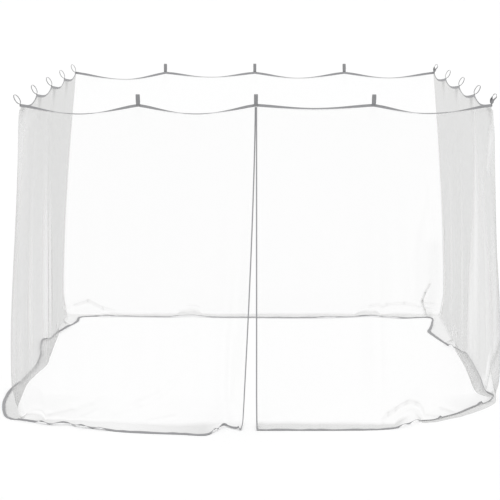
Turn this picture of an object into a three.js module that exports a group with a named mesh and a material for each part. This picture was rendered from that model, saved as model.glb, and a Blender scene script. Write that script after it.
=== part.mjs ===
// Mosquito net for a square gazebo: four walls of sheer netting that hang from a rail by sixteen
// strap loops and reach the floor, with a doorway slit down the middle of the front wall and a
// folded grey tape sewn over every edge.
// Millimetres, +Z up. The net is laid out about the middle of its plan, with the floor at z = 0,
// and the whole group is then moved so that its origin is where the rail bears in the middle loop
// of the front wall.
import * as THREE from "three";

// Driving sizes
const wallLength = 3000; // each wall, along the rail
const half = wallLength / 2;
const hangHeight = 2120; // top edge of the net at a loop, above the floor
const spareCloth = 106; // cloth below the fold at the floor
const clothHeight = hangHeight + spareCloth;
const netThickness = 2;
const tapeThickness = 1; // one ply of the folded tape
const sewnGap = 0.4; // between pieces that are sewn together
const tapeWidth = 17; // along the top and bottom edges
const slitTapeWidth = 8; // down both edges of the doorway
const shoulder = 12; // netting that bends over with the top tape
const restHeight = netThickness / 2 + sewnGap + tapeThickness + 0.3; // middle of cloth on the floor
const bellyHeight = 210; // the walls swing out down to here
const bellyShare = 1 - bellyHeight / hangHeight;
const kneeLength = 36; // half of the rounded bend at the floor
const longestMitre = 1.6; // of an offset point at a bend, as a share of the offset
const leastSpread = 0.1; // cosine, between a bend's faces and their mean
const layerShift = 4.9; // the left front panel ends this far behind the right one
const panelSeam = 0.75 * sewnGap; // from a corner to the end of each panel there
const cornerTurn = 220; // of each wall, where its folds turn into the corner's diagonal

// Powers that shape the curves: 1 is straight, and more is rounder
const sagPower = 1.7;
const flopPower = 0.8;
const flarePower = 1.5; // the walls swing out fastest at the top
const drawnPower = 1.4; // the drawn-aside front edge moves fastest at the floor
const footPower = 1.2;

// Strap loops
const strapWidth = 25;
const strapThickness = 1.5;
const loopHeight = 68;
const loopDepth = 30;
const stemBelow = 14.5; // where the two ends of a strap are sewn to the tape
const loopCorners = 15;

// The five panels, by their stretch of the top edge, counted from the slit round to the right
const walls = [
  { name: "front_right", from: 0, to: 1500, startX: 0, startY: -half, alongX: 1, alongY: 0 },
  { name: "right", from: 1500, to: 4500, startX: half, startY: -half, alongX: 0, alongY: 1 },
  { name: "back", from: 4500, to: 7500, startX: half, startY: half, alongX: -1, alongY: 0 },
  { name: "left", from: 7500, to: 10500, startX: -half, startY: half, alongX: 0, alongY: -1 },
  { name: "front_left", from: 10500, to: 12000, startX: -half, startY: -half, alongX: 1, alongY: 0 },
];
const roundTrip = 4 * wallLength;
const spanLength = wallLength / 4;

// Top edge between one loop and the next: how far it sags, how far the tape flops outward in
// degrees, or inward where that is less than 0, and where along the span it is lowest
const spans = [
  { sag: 14, flop: 62, low: 0.5 },
  { sag: 37, flop: 98, low: 0.44 },
  { sag: 30, flop: -30, low: 0.52 },
  { sag: 33, flop: -36, low: 0.45 },
  { sag: 28, flop: -32, low: 0.5 },
  { sag: 32, flop: -28, low: 0.55 },
  { sag: 31, flop: 92, low: 0.5 },
  { sag: 32, flop: 94, low: 0.52 },
  { sag: 24, flop: 96, low: 0.48 },
  { sag: 43, flop: 94, low: 0.42 },
  { sag: 31, flop: -28, low: 0.5 },
  { sag: 34, flop: -34, low: 0.47 },
  { sag: 29, flop: -32, low: 0.54 },
  { sag: 33, flop: -30, low: 0.5 },
  { sag: 40, flop: 98, low: 0.5 },
  { sag: 40, flop: 96, low: 0.49 },
];

// Plan of the walls at belly height, by station along the top edge
const bellyLine = [
  { at: 0, x: 2, y: -1530 },
  { at: 800, x: 801, y: -1546 },
  { at: 1250, x: 1290, y: -1528 },
  { at: 1500, x: 1545, y: -1458 },
  { at: 1650, x: 1594, y: -1338 },
  { at: 1800, x: 1630, y: -1206 },
  { at: 1940, x: 1646, y: -1070 },
  { at: 2040, x: 1622, y: -962 },
  { at: 2135, x: 1572, y: -872 },
  { at: 2210, x: 1532, y: -792 },
  { at: 2500, x: 1560, y: -500 },
  { at: 3090, x: 1576, y: 90 },
  { at: 3600, x: 1594, y: 610 },
  { at: 4500, x: 1634, y: 1560 },
  { at: 4900, x: 1150, y: 1588 },
  { at: 6000, x: 0, y: 1580 },
  { at: 7120, x: -1160, y: 1590 },
  { at: 7500, x: -1630, y: 1562 },
  { at: 8570, x: -1592, y: 430 },
  { at: 8900, x: -1584, y: 100 },
  { at: 9110, x: -1570, y: -100 },
  { at: 9330, x: -1606, y: -330 },
  { at: 9600, x: -1632, y: -600 },
  { at: 10150, x: -1634, y: -1150 },
  { at: 10320, x: -1618, y: -1310 },
  { at: 10500, x: -1522, y: -1476 },
  { at: 10800, x: -1218, y: -1520 },
  { at: 11400, x: -612, y: -1548 },
  { at: 11760, x: -284, y: -1552 },
  { at: 11870, x: -184, y: -1530 },
  { at: 12000, x: -72, y: -1524 },
];

// Plan of the fold where each wall meets the floor
const footLine = [
  { at: 0, x: 4, y: -1532 },
  { at: 400, x: 400, y: -1538 },
  { at: 800, x: 801, y: -1548 },
  { at: 930, x: 922, y: -1530 },
  { at: 1050, x: 1040, y: -1512 },
  { at: 1180, x: 1168, y: -1516 },
  { at: 1350, x: 1322, y: -1430 },
  { at: 1500, x: 1430, y: -1345 },
  { at: 1680, x: 1562, y: -1215 },
  { at: 1840, x: 1654, y: -1100 },
  { at: 1960, x: 1684, y: -990 },
  { at: 2060, x: 1632, y: -925 },
  { at: 2160, x: 1548, y: -836 },
  { at: 2330, x: 1548, y: -672 },
  { at: 2500, x: 1568, y: -502 },
  { at: 2800, x: 1577, y: -195 },
  { at: 3100, x: 1574, y: 95 },
  { at: 3330, x: 1572, y: 335 },
  { at: 3470, x: 1590, y: 475 },
  { at: 3640, x: 1600, y: 640 },
  { at: 4000, x: 1604, y: 1010 },
  { at: 4260, x: 1600, y: 1290 },
  { at: 4500, x: 1600, y: 1572 },
  { at: 4800, x: 1235, y: 1600 },
  { at: 6000, x: 0, y: 1598 },
  { at: 7200, x: -1240, y: 1604 },
  { at: 7500, x: -1604, y: 1580 },
  { at: 7800, x: -1612, y: 1235 },
  { at: 8060, x: -1610, y: 955 },
  { at: 8300, x: -1600, y: 700 },
  { at: 8570, x: -1593, y: 430 },
  { at: 8900, x: -1580, y: 105 },
  { at: 9100, x: -1572, y: -95 },
  { at: 9330, x: -1612, y: -335 },
  { at: 9600, x: -1645, y: -605 },
  { at: 9950, x: -1634, y: -950 },
  { at: 10300, x: -1602, y: -1285 },
  { at: 10500, x: -1512, y: -1418 },
  { at: 10680, x: -1340, y: -1432 },
  { at: 10850, x: -1165, y: -1464 },
  { at: 11100, x: -908, y: -1516 },
  { at: 11320, x: -690, y: -1560 },
  { at: 11540, x: -482, y: -1586 },
  { at: 11690, x: -332, y: -1574 },
  { at: 11760, x: -268, y: -1540 },
  { at: 11840, x: -200, y: -1500 },
  { at: 11920, x: -140, y: -1528 },
  { at: 12000, x: -84, y: -1530 },
];

// Plan of the bottom edge as it lies on the floor
const hemLine = [
  { at: 0, x: 6, y: -1656 },
  { at: 620, x: 616, y: -1652 },
  { at: 800, x: 794, y: -1640 },
  { at: 900, x: 894, y: -1620 },
  { at: 980, x: 966, y: -1580 },
  { at: 1050, x: 1042, y: -1510 },
  { at: 1110, x: 1098, y: -1440 },
  { at: 1200, x: 1180, y: -1418 },
  { at: 1350, x: 1280, y: -1340 },
  { at: 1500, x: 1368, y: -1268 },
  { at: 1680, x: 1452, y: -1166 },
  { at: 1840, x: 1545, y: -1064 },
  { at: 1960, x: 1634, y: -1000 },
  { at: 2070, x: 1694, y: -900 },
  { at: 2160, x: 1668, y: -800 },
  { at: 2330, x: 1674, y: -640 },
  { at: 2500, x: 1685, y: -430 },
  { at: 2800, x: 1688, y: -160 },
  { at: 3060, x: 1690, y: 80 },
  { at: 3270, x: 1676, y: 262 },
  { at: 3360, x: 1632, y: 352 },
  { at: 3470, x: 1562, y: 480 },
  { at: 3640, x: 1520, y: 634 },
  { at: 3860, x: 1464, y: 860 },
  { at: 4010, x: 1438, y: 1008 },
  { at: 4110, x: 1466, y: 1120 },
  { at: 4260, x: 1500, y: 1275 },
  { at: 4500, x: 1512, y: 1488 },
  { at: 4740, x: 1280, y: 1472 },
  { at: 4890, x: 1125, y: 1512 },
  { at: 5010, x: 998, y: 1538 },
  { at: 5240, x: 762, y: 1508 },
  { at: 5550, x: 450, y: 1482 },
  { at: 6000, x: 0, y: 1490 },
  { at: 6300, x: -300, y: 1498 },
  { at: 6550, x: -548, y: 1534 },
  { at: 6780, x: -778, y: 1514 },
  { at: 7060, x: -1058, y: 1528 },
  { at: 7300, x: -1292, y: 1540 },
  { at: 7500, x: -1496, y: 1514 },
  { at: 7660, x: -1512, y: 1350 },
  { at: 7860, x: -1578, y: 1138 },
  { at: 8030, x: -1628, y: 976 },
  { at: 8190, x: -1680, y: 806 },
  { at: 8320, x: -1738, y: 684 },
  { at: 8600, x: -1722, y: 412 },
  { at: 8900, x: -1699, y: 102 },
  { at: 9110, x: -1700, y: -108 },
  { at: 9330, x: -1719, y: -325 },
  { at: 9680, x: -1752, y: -680 },
  { at: 9860, x: -1766, y: -852 },
  { at: 10060, x: -1756, y: -1056 },
  { at: 10320, x: -1700, y: -1322 },
  { at: 10420, x: -1645, y: -1410 },
  { at: 10500, x: -1570, y: -1438 },
  { at: 10590, x: -1470, y: -1484 },
  { at: 10690, x: -1356, y: -1536 },
  { at: 10780, x: -1244, y: -1528 },
  { at: 10850, x: -1178, y: -1578 },
  { at: 10960, x: -1066, y: -1620 },
  { at: 11160, x: -852, y: -1692 },
  { at: 11530, x: -474, y: -1742 },
  { at: 11690, x: -318, y: -1756 },
  { at: 11770, x: -256, y: -1660 },
  { at: 11840, x: -212, y: -1588 },
  { at: 11920, x: -150, y: -1646 },
  { at: 12000, x: -96, y: -1656 },
];

// Soft upright folds: station at the top edge and at the floor, half width, how far each stands
// out where it is fullest, and how low that is: 2 is a third of the way up and 6 near the floor
const folds = [
  { top: 740, floor: 802, width: 60, out: 16, low: 2 },
  { top: 1500, floor: 1780, width: 170, out: 42, low: 2 },
  { top: 2250, floor: 2095, width: 60, out: 12, low: 2 },
  { top: 3000, floor: 3010, width: 45, out: 11, low: 2 },
  { top: 3750, floor: 3790, width: 50, out: 12, low: 2 },
  { top: 4560, floor: 4620, width: 80, out: -46, low: 5 },
  { top: 4950, floor: 4800, width: 90, out: 16, low: 3 },
  { top: 5250, floor: 5010, width: 80, out: 14, low: 2 },
  { top: 6750, floor: 6800, width: 90, out: 10, low: 2 },
  { top: 7440, floor: 7410, width: 70, out: -20, low: 4 },
  { top: 8990, floor: 8850, width: 75, out: 20, low: 2 },
  { top: 9760, floor: 9640, width: 90, out: 14, low: 2 },
  { top: 10500, floor: 10330, width: 110, out: 14, low: 2 },
  { top: 11250, floor: 11330, width: 90, out: 12, low: 2 },
  { top: 11980, floor: 11880, width: 60, out: 20, low: 2 },
];

// Each loop and how far it leans out, in degrees
const loops = [
  { name: "front_middle", lean: 24 },
  { name: "front_right", lean: 26 },
  { name: "corner_front_right", lean: 30 },
  { name: "right_front", lean: 30 },
  { name: "right_middle", lean: 27 },
  { name: "right_back", lean: 25 },
  { name: "corner_back_right", lean: 20 },
  { name: "back_right", lean: 22 },
  { name: "back_middle", lean: 20 },
  { name: "back_left", lean: 22 },
  { name: "corner_back_left", lean: 24 },
  { name: "left_back", lean: 26 },
  { name: "left_middle", lean: 28 },
  { name: "left_front", lean: 27 },
  { name: "corner_front_left", lean: 32 },
  { name: "front_left", lean: 25 },
];

// Stations of the netting's columns as shares of a span between loops, the stations where the hem
// turns over on the floor, and the netting's rows as lengths of cloth down from the top edge
const levelShare = 0.065; // of a span, beside each loop, where the tape stays upright
const besideLoops = [0, levelShare, 1 - levelShare];
const betweenLoops = [0.19, 0.33, 0.5, 0.67, 0.81];
const hemTurns = [1030, 1060, 1090, 1960, 1990, 2020, 2050, 3300, 3330, 3360, 3390];
const closestColumns = 54;
const wallRows = [0.045, 0.17, 0.36, 0.57, 0.76, 0.9];
const kneeRows = [-1, -0.33, 0.33, 1];

const netMaterial = new THREE.MeshStandardMaterial({
  color: 0xf6f6f4,
  roughness: 0.9,
  metalness: 0,
  transparent: true,
  opacity: 0.3,
  side: THREE.DoubleSide,
});
const tapeMaterial = new THREE.MeshStandardMaterial({ color: 0x8e8f90, roughness: 0.85, metalness: 0 });
const strapMaterial = new THREE.MeshStandardMaterial({ color: 0x7d7e80, roughness: 0.8, metalness: 0 });

// A smooth curve through the rows of a table, at one station
function along(table, key, at) {
  let next = table.findIndex((row) => row.at >= at);
  next = Math.min(Math.max(next === -1 ? table.length - 1 : next, 1), table.length - 1);
  const here = table[next - 1];
  const there = table[next];
  const before = table[next - 2] ?? here;
  const after = table[next + 1] ?? there;
  const step = there.at - here.at;
  const slopeHere = ((there[key] - before[key]) / (there.at - before.at)) * step;
  const slopeThere = ((after[key] - here[key]) / (after.at - here.at)) * step;
  const t = THREE.MathUtils.clamp((at - here.at) / step, 0, 1);
  const rise = t * t * (3 - 2 * t);
  return (
    THREE.MathUtils.lerp(here[key], there[key], rise) +
    slopeHere * t * (1 - t) * (1 - t) -
    slopeThere * t * t * (1 - t)
  );
}

function planPoint(table, at) {
  return new THREE.Vector3(along(table, "x", at), along(table, "y", at), 0);
}

// The way out of a wall, square to its top edge
function outOf(wall) {
  return new THREE.Vector3(wall.alongY, -wall.alongX, 0);
}

// The top edge at a station: it hangs level for a strap's width beside each loop, then sags and
// flops over
function topEdge(at) {
  const span = spans[Math.min(Math.floor(at / spanLength), spans.length - 1)];
  const share = (at - Math.floor(at / spanLength) * spanLength) / spanLength;
  const toLow = share < span.low ? share / span.low / 2 : 0.5 + (share - span.low) / (1 - span.low) / 2;
  const open = THREE.MathUtils.clamp((share - levelShare) / (1 - 2 * levelShare), 0, 1);
  return {
    sag: span.sag * (1 - Math.pow(Math.abs(2 * toLow - 1), sagPower)),
    flop: THREE.MathUtils.degToRad(span.flop) * Math.pow(Math.sin(Math.PI * open), flopPower),
  };
}

function foldsAt(at, share) {
  return folds.reduce((sum, fold) => {
    const away = (at - THREE.MathUtils.lerp(fold.top, fold.floor, share)) / fold.width;
    return sum + fold.out * Math.exp(-away * away) * Math.sin(Math.PI * Math.pow(share, fold.low));
  }, 0);
}

// The way in which a fold stands out: square to the wall, and turning into the corner's own
// diagonal where two walls meet
function foldWay(wall, at) {
  const toStart = wall.from === 0 ? cornerTurn : at - wall.from;
  const toEnd = wall.to === roundTrip ? cornerTurn : wall.to - at;
  const share = 1 - THREE.MathUtils.smoothstep(Math.min(toStart, toEnd), 0, cornerTurn);
  const side = toStart < toEnd ? -1 : 1;
  const way = new THREE.Vector3(wall.alongX, wall.alongY, 0);
  return outOf(wall).addScaledVector(way, side * share).normalize();
}

// How far the end of the left front panel lies behind the right one
function tuckAt(wall, at) {
  if (wall.name !== "front_left") {
    return 0;
  }
  const [tuckStart, tuckEnd] = [roundTrip - 140, roundTrip - 30];
  return layerShift * THREE.MathUtils.smoothstep(at, tuckStart, tuckEnd);
}

// How far a station belongs to the free edge of the left front panel, which is drawn aside
function drawnAside(wall, at) {
  return wall.name === "front_left" ? THREE.MathUtils.smoothstep(at, roundTrip - spanLength, roundTrip) : 0;
}

// The middle of the cloth on one wall: a station along the top edge, and cloth down from it
function clothPoint(wall, at, down) {
  const out = outOf(wall);
  const way = new THREE.Vector3(wall.alongX, wall.alongY, 0);
  const top = new THREE.Vector3(wall.startX, wall.startY, 0).addScaledVector(way, at - wall.from);
  const edge = topEdge(at);
  const bentOver = tapeWidth + shoulder;
  const hang = hangHeight - bentOver - edge.sag;
  const tuck = tuckAt(wall, at);
  const lean = (angle) => out.clone().multiplyScalar(Math.sin(angle)).setZ(Math.cos(angle));

  const shoulderPoint = top.clone().setZ(hang).addScaledVector(out, -tuck);
  if (down < bentOver) {
    const bend = Math.min(bentOver - down, shoulder);
    const tape = Math.max(tapeWidth - down, 0);
    return shoulderPoint
      .addScaledVector(lean(edge.flop / 2), bend)
      .addScaledVector(lean(edge.flop), tape);
  }

  const belly = planPoint(bellyLine, at);
  const foot = planPoint(footLine, at);
  const hem = planPoint(hemLine, at);
  const reach = foot.distanceTo(hem);
  const footHeight = restHeight + Math.sqrt(Math.max(spareCloth * spareCloth - reach * reach, 0));

  const onWall = (length) => {
    const share = (length - bentOver) / (hangHeight - bentOver);
    const swing = belly.clone().sub(top);
    const swingOut = swing.dot(out);
    const point = top.clone();
    if (share < bellyShare) {
      const part = share / bellyShare;
      const flare = 1 - Math.pow(1 - part, flarePower);
      const aside = THREE.MathUtils.lerp(flare, Math.pow(part, drawnPower), drawnAside(wall, at));
      point.addScaledVector(out, swingOut * flare);
      point.addScaledVector(swing.addScaledVector(out, -swingOut), aside);
    } else {
      point.copy(belly).lerp(foot, Math.pow((share - bellyShare) / (1 - bellyShare), footPower));
    }
    point.addScaledVector(foldWay(wall, at), foldsAt(at, share));
    point.addScaledVector(out, -tuck * (1 - share));
    return point.setZ(THREE.MathUtils.lerp(hang, footHeight, share));
  };
  const onFloor = (length) => {
    const share = (length - hangHeight) / spareCloth;
    return foot.clone().lerp(hem, share).setZ(THREE.MathUtils.lerp(footHeight, restHeight, share));
  };

  if (down <= hangHeight - kneeLength) {
    return onWall(down);
  }
  if (down >= hangHeight + kneeLength) {
    return onFloor(down);
  }
  const turn = (down - hangHeight + kneeLength) / (2 * kneeLength);
  const above = onWall(hangHeight - kneeLength);
  const corner = foot.clone().setZ(footHeight);
  const below = onFloor(hangHeight + kneeLength);
  return above.lerp(corner, turn).lerp(corner.lerp(below, turn), turn);
}

// Lengths of cloth at which every panel has a row
function rowLengths() {
  const start = tapeWidth + shoulder;
  const end = hangHeight - kneeLength;
  return [
    0,
    tapeWidth,
    start,
    ...wallRows.map((share) => THREE.MathUtils.lerp(start, end, share)),
    ...kneeRows.map((share) => hangHeight + share * kneeLength),
    clothHeight - tapeWidth,
    clothHeight,
  ];
}

// Stations of a panel's columns: the ends, the inner edge of the doorway tape, at and beside each
// loop, where the hem turns over, then between the loops and last where the floor tables have a
// row, each of those last two where it is far enough from the ones before
function columnStations(wall) {
  const isOpen = (at) => at === 0 || at === roundTrip;
  const stations = [isOpen(wall.from) ? wall.from : wall.from + panelSeam];
  if (isOpen(wall.from)) {
    stations.push(wall.from + slitTapeWidth);
  }
  if (isOpen(wall.to)) {
    stations.push(wall.to - slitTapeWidth);
  }
  const inSpans = (shares) => {
    const starts = [];
    for (let start = wall.from; start < wall.to; start += spanLength) {
      starts.push(start);
    }
    return starts.flatMap((start) => shares.map((share) => start + share * spanLength));
  };
  stations.push(...inSpans(besideLoops).filter((at) => at > wall.from));
  stations.push(isOpen(wall.to) ? wall.to : wall.to - panelSeam);
  const isInside = (at) => at > wall.from && at < wall.to;
  stations.push(...hemTurns.filter(isInside));
  const onFloor = [...hemLine, ...footLine].map((row) => row.at);
  for (const at of [...inSpans(betweenLoops), ...onFloor].filter(isInside)) {
    if (stations.every((other) => Math.abs(other - at) > closestColumns)) {
      stations.push(at);
    }
  }
  return stations.sort((a, b) => a - b);
}

// A panel's middle points and, for each, the way to its outer face, made longer at a bend so that
// the cloth keeps its thickness. A corner takes in the first column of the wall next to it.
function panelGrid(wall) {
  const lengths = rowLengths();
  const stations = columnStations(wall);
  const before = walls.find((one) => one.to === wall.from);
  const after = walls.find((one) => one.from === wall.to);
  const wide = lengths.map((down) => [
    before ? clothPoint(before, columnStations(before).at(-2), down) : null,
    ...stations.map((at) => clothPoint(wall, at, down)),
    after ? clothPoint(after, columnStations(after)[1], down) : null,
  ]);
  const faceAt = (row, column) => {
    const a = wide[row]?.[column];
    const b = wide[row + 1]?.[column];
    const c = wide[row + 1]?.[column + 1];
    const d = wide[row]?.[column + 1];
    if (!a || !b || !c || !d) {
      return null;
    }
    const normal = c.clone().sub(a).cross(d.clone().sub(b));
    return normal.lengthSq() > 0 ? normal.normalize() : null;
  };
  const offsets = lengths.map((_, row) =>
    stations.map((_, column) => {
      const corners = [[row - 1, column], [row, column], [row - 1, column + 1], [row, column + 1]];
      const faces = corners.map(([r, c]) => faceAt(r, c)).filter(Boolean);
      const mean = faces.reduce((sum, face) => sum.add(face), new THREE.Vector3()).normalize();
      const spread = faces.reduce((least, face) => Math.min(least, face.dot(mean)), 1);
      return mean.multiplyScalar(Math.min(1 / Math.max(spread, leastSpread), longestMitre));
    }),
  );
  return { points: wide.map((row) => row.slice(1, -1)), offsets, stations };
}

function geometryFrom(points, triangles) {
  const geometry = new THREE.BufferGeometry().setFromPoints(points);
  geometry.setIndex(triangles.flat());
  geometry.computeVertexNormals();
  return geometry;
}

// A closed sheet between an outer and an inner grid of points
function sheetGeometry(outer, inner) {
  const rows = outer.length;
  const columns = outer[0].length;
  const points = [...outer.flat(), ...inner.flat()];
  const front = (row, column) => row * columns + column;
  const back = (row, column) => rows * columns + front(row, column);
  const triangles = [];
  const quad = (a, b, c, d) => triangles.push([a, b, c], [a, c, d]);
  for (let row = 0; row < rows - 1; row += 1) {
    for (let column = 0; column < columns - 1; column += 1) {
      quad(front(row, column), front(row + 1, column), front(row + 1, column + 1), front(row, column + 1));
      const a = back(row, column);
      const b = back(row + 1, column);
      const c = back(row + 1, column + 1);
      const d = back(row, column + 1);
      triangles.push([a, c, b], [a, d, c]);
    }
  }
  const bottom = rows - 1;
  const end = columns - 1;
  for (let row = 0; row < bottom; row += 1) {
    quad(back(row, 0), back(row + 1, 0), front(row + 1, 0), front(row, 0));
    quad(front(row, end), front(row + 1, end), back(row + 1, end), back(row, end));
  }
  for (let column = 0; column < end; column += 1) {
    quad(back(0, column), front(0, column), front(0, column + 1), back(0, column + 1));
    quad(front(bottom, column), back(bottom, column), back(bottom, column + 1), front(bottom, column + 1));
  }
  return geometryFrom(points, triangles);
}

// Folded tape over an edge: the edge line, the line that the tape reaches in to, and at each
// point the way to the outer face
function bindingGeometry(stops) {
  const inside = netThickness / 2 + sewnGap;
  const outside = inside + tapeThickness;
  const sections = stops.map((stop) => {
    const inward = stop.reach.clone().sub(stop.edge).normalize();
    const floor = stop.edge.clone().addScaledVector(inward, tapeThickness);
    return [
      stop.reach.clone().addScaledVector(stop.reachOut, outside),
      stop.edge.clone().addScaledVector(stop.edgeOut, outside),
      stop.edge.clone().addScaledVector(stop.edgeOut, -outside),
      stop.reach.clone().addScaledVector(stop.reachOut, -outside),
      stop.reach.clone().addScaledVector(stop.reachOut, -inside),
      floor.clone().addScaledVector(stop.edgeOut, -inside),
      floor.clone().addScaledVector(stop.edgeOut, inside),
      stop.reach.clone().addScaledVector(stop.reachOut, inside),
    ];
  });
  const count = sections[0].length;
  const triangles = [];
  for (let step = 0; step < sections.length - 1; step += 1) {
    for (let corner = 0; corner < count; corner += 1) {
      const a = step * count + corner;
      const b = step * count + ((corner + 1) % count);
      const c = b + count;
      const d = a + count;
      const towardEdge = corner === 0 || corner === 4;
      triangles.push(...(towardEdge ? [[a, d, b], [b, d, c]] : [[a, c, b], [a, d, c]]));
    }
  }
  const last = (sections.length - 1) * count;
  for (const [a, b, c, d] of [[0, 1, 6, 7], [1, 2, 5, 6], [2, 3, 4, 5]]) {
    triangles.push([a, b, c], [a, c, d]);
    triangles.push([last + a, last + c, last + b], [last + a, last + d, last + c]);
  }
  return facingOut(geometryFrom(sections.flat(), triangles));
}

// Turns every face round if the shape is inside out
function facingOut(geometry) {
  const position = geometry.getAttribute("position");
  const index = Array.from(geometry.getIndex().array);
  const corner = (place) => new THREE.Vector3().fromBufferAttribute(position, index[place]);
  let volume = 0;
  for (let place = 0; place < index.length; place += 3) {
    volume += corner(place).dot(corner(place + 1).cross(corner(place + 2)));
  }
  if (volume < 0) {
    for (let place = 0; place < index.length; place += 3) {
      [index[place + 1], index[place + 2]] = [index[place + 2], index[place + 1]];
    }
    geometry.setIndex(index);
    geometry.computeVertexNormals();
  }
  return geometry;
}

function pointBetween(a, b, distance) {
  return a.clone().addScaledVector(b.clone().sub(a).normalize(), distance);
}

// The netting of one panel, trimmed back inside the tapes on its edges
function netGeometry(wall, grid) {
  const trim = tapeThickness + sewnGap;
  const middle = grid.points.map((row) => row.map((point) => point.clone()));
  const rows = middle.length;
  const columns = middle[0].length;
  const slitColumn = wall.from === 0 ? 0 : columns - 1;
  const nextColumn = wall.from === 0 ? 1 : columns - 2;
  if (wall.from === 0 || wall.to === roundTrip) {
    for (const row of middle) {
      row[slitColumn] = pointBetween(row[slitColumn], row[nextColumn], trim);
    }
  }
  middle[0] = middle[0].map((point, column) => pointBetween(point, middle[1][column], trim));
  middle[rows - 1] = middle[rows - 1].map((point, column) =>
    pointBetween(point, middle[rows - 2][column], trim),
  );
  const shifted = (side) =>
    middle.map((row, r) =>
      row.map((point, c) => point.clone().addScaledVector(grid.offsets[r][c], (side * netThickness) / 2)),
    );
  return sheetGeometry(shifted(1), shifted(-1));
}

function stopsBetween(grid, edges, reaches) {
  return edges.map(([row, column], index) => {
    const [reachRow, reachColumn] = reaches[index];
    return {
      edge: grid.points[row][column],
      edgeOut: grid.offsets[row][column],
      reach: grid.points[reachRow][reachColumn],
      reachOut: grid.offsets[reachRow][reachColumn],
    };
  });
}

function topTapeGeometry(grid) {
  const columns = grid.stations.map((_, column) => column);
  return bindingGeometry(
    stopsBetween(
      grid,
      columns.map((column) => [0, column]),
      columns.map((column) => [1, column]),
    ),
  );
}

function bottomTapeGeometry(grid) {
  const bottom = grid.points.length - 1;
  const columns = grid.stations.map((_, column) => column).reverse();
  return bindingGeometry(
    stopsBetween(
      grid,
      columns.map((column) => [bottom, column]),
      columns.map((column) => [bottom - 1, column]),
    ),
  );
}

// Tape down one edge of the doorway, between the top and the bottom tape
function slitTapeGeometry(wall, grid) {
  const endColumn = grid.stations.length - 1;
  const [edge, reach] = wall.from === 0 ? [0, 1] : [endColumn, endColumn - 1];
  const rows = grid.points.map((_, row) => row).slice(1, -1);
  const stops = stopsBetween(
    grid,
    rows.map((row) => [row, edge]),
    rows.map((row) => [row, reach]),
  );
  const gap = 1.3 * sewnGap;
  const drawIn = (stop, next) => ({
    ...stop,
    edge: pointBetween(stop.edge, next.edge, gap),
    reach: pointBetween(stop.reach, next.reach, gap),
  });
  const last = stops.length - 1;
  const first = drawIn(stops[0], stops[1]);
  stops[last] = drawIn(stops[last], stops[last - 1]);
  stops[0] = first;
  return bindingGeometry(wall.from === 0 ? stops : stops.reverse());
}

// A strap folded into a loop, seen along the rail: x is out from the wall and y is up, with the
// top edge of the net at y = 0
function loopProfile(lean) {
  const tilt = THREE.MathUtils.degToRad(lean);
  const face = netThickness / 2 + 2 * sewnGap + tapeThickness;
  const stemOut = face + 2 * strapThickness;
  const neck = new THREE.Vector2((face + stemOut) / 2, strapThickness);
  const centre = new THREE.Vector2(Math.sin(tilt), Math.cos(tilt)).multiplyScalar(loopHeight / 2).add(neck);
  const ring = (angle, inset) =>
    new THREE.Vector2((loopDepth / 2 - inset) * Math.cos(angle), (loopHeight / 2 - inset) * Math.sin(angle))
      .rotateAround(new THREE.Vector2(), -tilt)
      .add(centre);
  const joint = 1.3 * Math.asin((2 * strapThickness) / loopDepth); // half of the ring's foot, as an angle
  const outline = [new THREE.Vector2(stemOut, -stemBelow)];
  for (let corner = 0; corner <= loopCorners; corner += 1) {
    const share = corner / loopCorners;
    outline.push(ring(-Math.PI / 2 + joint + share * (2 * Math.PI - 2 * joint), 0));
  }
  outline.push(new THREE.Vector2(face, -stemBelow));
  const shape = new THREE.Shape(outline);
  const hole = [];
  for (let corner = 0; corner < loopCorners; corner += 1) {
    hole.push(ring((-2 * Math.PI * corner) / loopCorners, strapThickness));
  }
  shape.holes.push(new THREE.Path(hole));
  return shape;
}

// The point inside a loop's top where the rail bears, in the profile's own plane
function railInLoop(lean) {
  const tilt = THREE.MathUtils.degToRad(lean);
  const neckOut = netThickness / 2 + 2 * sewnGap + tapeThickness + strapThickness;
  const rise = loopHeight - strapThickness;
  return new THREE.Vector2(neckOut + Math.sin(tilt) * rise, strapThickness + Math.cos(tilt) * rise);
}

// Station and wall of a loop: a corner loop is sewn to the end of the side wall
function loopPlace(index) {
  const at = index * spanLength;
  const inFromCorner = strapWidth / 2 + 6;
  const isCorner = index % 4 === 2;
  if (!isCorner) {
    return { wall: walls.find((wall) => at >= wall.from && at < wall.to), at };
  }
  const wall = walls.find((one) => one.alongX === 0 && (one.from === at || one.to === at));
  return { wall, at: wall.from === at ? at + inFromCorner : at - inFromCorner };
}

function makeLoop(row, index) {
  const { wall, at } = loopPlace(index);
  const geometry = new THREE.ExtrudeGeometry(loopProfile(row.lean), {
    depth: strapWidth,
    bevelEnabled: false,
    curveSegments: 1,
  });
  geometry.translate(0, 0, -strapWidth / 2);
  const mesh = new THREE.Mesh(geometry, strapMaterial);
  mesh.name = `loop_${row.name}`;
  const out = outOf(wall);
  const up = new THREE.Vector3(0, 0, 1);
  const across = new THREE.Vector3().crossVectors(out, up);
  mesh.quaternion.setFromRotationMatrix(new THREE.Matrix4().makeBasis(out, up, across));
  mesh.position.set(
    wall.startX + wall.alongX * (at - wall.from),
    wall.startY + wall.alongY * (at - wall.from),
    hangHeight - topEdge(at).sag,
  );
  return mesh;
}

function named(name, geometry, material) {
  const mesh = new THREE.Mesh(geometry, material);
  mesh.name = name;
  return mesh;
}

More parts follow.
